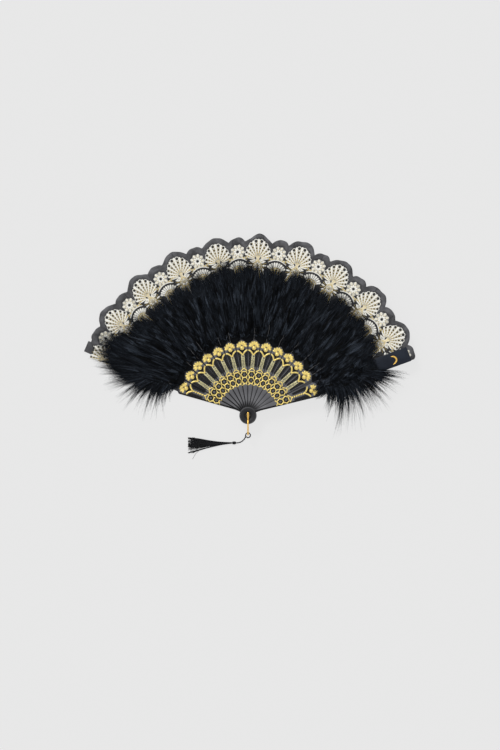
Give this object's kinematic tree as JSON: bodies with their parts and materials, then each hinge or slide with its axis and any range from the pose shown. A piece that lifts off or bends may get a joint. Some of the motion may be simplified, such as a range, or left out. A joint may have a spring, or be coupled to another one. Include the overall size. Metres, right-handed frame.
{
  "type": "feather fan",
  "caption": "Folding hand fan with relief plastic sticks, a scalloped cloth leaf, a lace edge, a feather trim and a tassel.",
  "frame": {"origin": "on the rivet's axis, at the flat rear face of the rivet, in the plane the open fan lies on", "axes": "+Z out of the fan's face along the rivet, +Y up the middle of the open fan, +X to its right"},
  "size_m": [0.4377, 0.2865, 0.0278],
  "materials": {
    "black_plastic": "moulded in relief, satin, hot-stamped with gilt",
    "gilt_brass": "polished",
    "leaf_cloth": "plain weave",
    "ivory_lace": "embroidered lace with gilt thread",
    "black_feather": "down plumes",
    "silk_cord": "twisted silk"
  },
  "bodies": {
    "rear_guard": {"rear_guard": "black_plastic", "pivot_rivet": "gilt_brass", "rivet_cap": "gilt_brass", "leaf_panel_01": "leaf_cloth", "lace_01": "ivory_lace", "feather_tuft_01": "black_feather"},
    "rib_01": {"rib_01": "black_plastic", "leaf_panel_02": "leaf_cloth", "lace_02": "ivory_lace", "feather_tuft_02": "black_feather"},
    "rib_02": {"rib_02": "black_plastic", "leaf_panel_03": "leaf_cloth", "lace_03": "ivory_lace", "feather_tuft_03": "black_feather"},
    "rib_03": {"rib_03": "black_plastic", "leaf_panel_04": "leaf_cloth", "lace_04": "ivory_lace", "feather_tuft_04": "black_feather"},
    "rib_04": {"rib_04": "black_plastic", "leaf_panel_05": "leaf_cloth", "lace_05": "ivory_lace", "feather_tuft_05": "black_feather"},
    "rib_05": {"rib_05": "black_plastic", "leaf_panel_06": "leaf_cloth", "lace_06": "ivory_lace", "feather_tuft_06": "black_feather"},
    "rib_06": {"rib_06": "black_plastic", "leaf_panel_07": "leaf_cloth", "lace_07": "ivory_lace", "feather_tuft_07": "black_feather"},
    "rib_07": {"rib_07": "black_plastic", "leaf_panel_08": "leaf_cloth", "lace_08": "ivory_lace", "feather_tuft_08": "black_feather"},
    "rib_08": {"rib_08": "black_plastic", "leaf_panel_09": "leaf_cloth", "lace_09": "ivory_lace", "feather_tuft_09": "black_feather"},
    "rib_09": {"rib_09": "black_plastic", "leaf_panel_10": "leaf_cloth", "lace_10": "ivory_lace", "feather_tuft_10": "black_feather"},
    "rib_10": {"rib_10": "black_plastic", "leaf_panel_11": "leaf_cloth", "lace_11": "ivory_lace", "feather_tuft_11": "black_feather"},
    "rib_11": {"rib_11": "black_plastic", "leaf_panel_12": "leaf_cloth", "lace_12": "ivory_lace", "feather_tuft_12": "black_feather"},
    "rib_12": {"rib_12": "black_plastic", "leaf_panel_13": "leaf_cloth", "lace_13": "ivory_lace", "feather_tuft_13": "black_feather"},
    "front_guard": {"front_guard": "black_plastic", "feather_tuft_14": "black_feather"},
    "bail": {"bail": "gilt_brass"},
    "tassel": {"tassel_cord": "silk_cord", "tassel_knot": "silk_cord", "tassel_skirt": "silk_cord"}
  },
  "joints": [
    {"name": "fold_01", "type": "hinge", "parent": "rear_guard", "child": "rib_01", "pos_m": [0, 0, 0.0032], "axis": [0, 0, 1], "range_deg": [0, 11.2], "deforming": ["feather_tuft_01"]},
    {"name": "fold_02", "type": "hinge", "parent": "rib_01", "child": "rib_02", "pos_m": [0, 0, 0.0045], "axis": [0, 0, 1], "range_deg": [0, 10.13], "deforming": ["feather_tuft_02"]},
    {"name": "fold_03", "type": "hinge", "parent": "rib_02", "child": "rib_03", "pos_m": [0, 0, 0.0058], "axis": [0, 0, 1], "range_deg": [0, 10.13], "deforming": ["feather_tuft_03"]},
    {"name": "fold_04", "type": "hinge", "parent": "rib_03", "child": "rib_04", "pos_m": [0, 0, 0.0071], "axis": [0, 0, 1], "range_deg": [0, 10.13], "deforming": ["feather_tuft_04"]},
    {"name": "fold_05", "type": "hinge", "parent": "rib_04", "child": "rib_05", "pos_m": [0, 0, 0.0084], "axis": [0, 0, 1], "range_deg": [0, 10.13], "deforming": ["feather_tuft_05"]},
    {"name": "fold_06", "type": "hinge", "parent": "rib_05", "child": "rib_06", "pos_m": [0, 0, 0.0097], "axis": [0, 0, 1], "range_deg": [0, 10.13], "deforming": ["feather_tuft_06"]},
    {"name": "fold_07", "type": "hinge", "parent": "rib_06", "child": "rib_07", "pos_m": [0, 0, 0.011], "axis": [0, 0, 1], "range_deg": [0, 10.13], "deforming": ["feather_tuft_07"]},
    {"name": "fold_08", "type": "hinge", "parent": "rib_07", "child": "rib_08", "pos_m": [0, 0, 0.0123], "axis": [0, 0, 1], "range_deg": [0, 10.13], "deforming": ["feather_tuft_08"]},
    {"name": "fold_09", "type": "hinge", "parent": "rib_08", "child": "rib_09", "pos_m": [0, 0, 0.0136], "axis": [0, 0, 1], "range_deg": [0, 10.13], "deforming": ["feather_tuft_09"]},
    {"name": "fold_10", "type": "hinge", "parent": "rib_09", "child": "rib_10", "pos_m": [0, 0, 0.0149], "axis": [0, 0, 1], "range_deg": [0, 10.13], "deforming": ["feather_tuft_10"]},
    {"name": "fold_11", "type": "hinge", "parent": "rib_10", "child": "rib_11", "pos_m": [0, 0, 0.0162], "axis": [0, 0, 1], "range_deg": [0, 10.13], "deforming": ["feather_tuft_11"]},
    {"name": "fold_12", "type": "hinge", "parent": "rib_11", "child": "rib_12", "pos_m": [0, 0, 0.0175], "axis": [0, 0, 1], "range_deg": [0, 10.13], "deforming": ["feather_tuft_12"]},
    {"name": "fold_13", "type": "hinge", "parent": "rib_12", "child": "front_guard", "pos_m": [0, 0, 0.0188], "axis": [0, 0, 1], "range_deg": [0, 13.3], "deforming": ["feather_tuft_13"]},
    {"name": "bail_swing", "type": "hinge", "parent": "rear_guard", "child": "bail", "pos_m": [0, 0, 0], "axis": [0, 0, 1], "range_deg": [-15, 85]},
    {"name": "tassel_swing", "type": "hinge", "parent": "bail", "child": "tassel", "pos_m": [0, -0.02535, 0], "axis": [0, 0, 1], "range_deg": [-10, 85]}
  ],
  "couplings": [
    {"joint": "fold_02", "follows": "fold_01", "ratio": 0.90446},
    {"joint": "fold_03", "follows": "fold_01", "ratio": 0.90446},
    {"joint": "fold_04", "follows": "fold_01", "ratio": 0.90446},
    {"joint": "fold_05", "follows": "fold_01", "ratio": 0.90446},
    {"joint": "fold_06", "follows": "fold_01", "ratio": 0.90446},
    {"joint": "fold_07", "follows": "fold_01", "ratio": 0.90446},
    {"joint": "fold_08", "follows": "fold_01", "ratio": 0.90446},
    {"joint": "fold_09", "follows": "fold_01", "ratio": 0.90446},
    {"joint": "fold_10", "follows": "fold_01", "ratio": 0.90446},
    {"joint": "fold_11", "follows": "fold_01", "ratio": 0.90446},
    {"joint": "fold_12", "follows": "fold_01", "ratio": 0.90446},
    {"joint": "fold_13", "follows": "fold_01", "ratio": 1.1875}
  ]
}
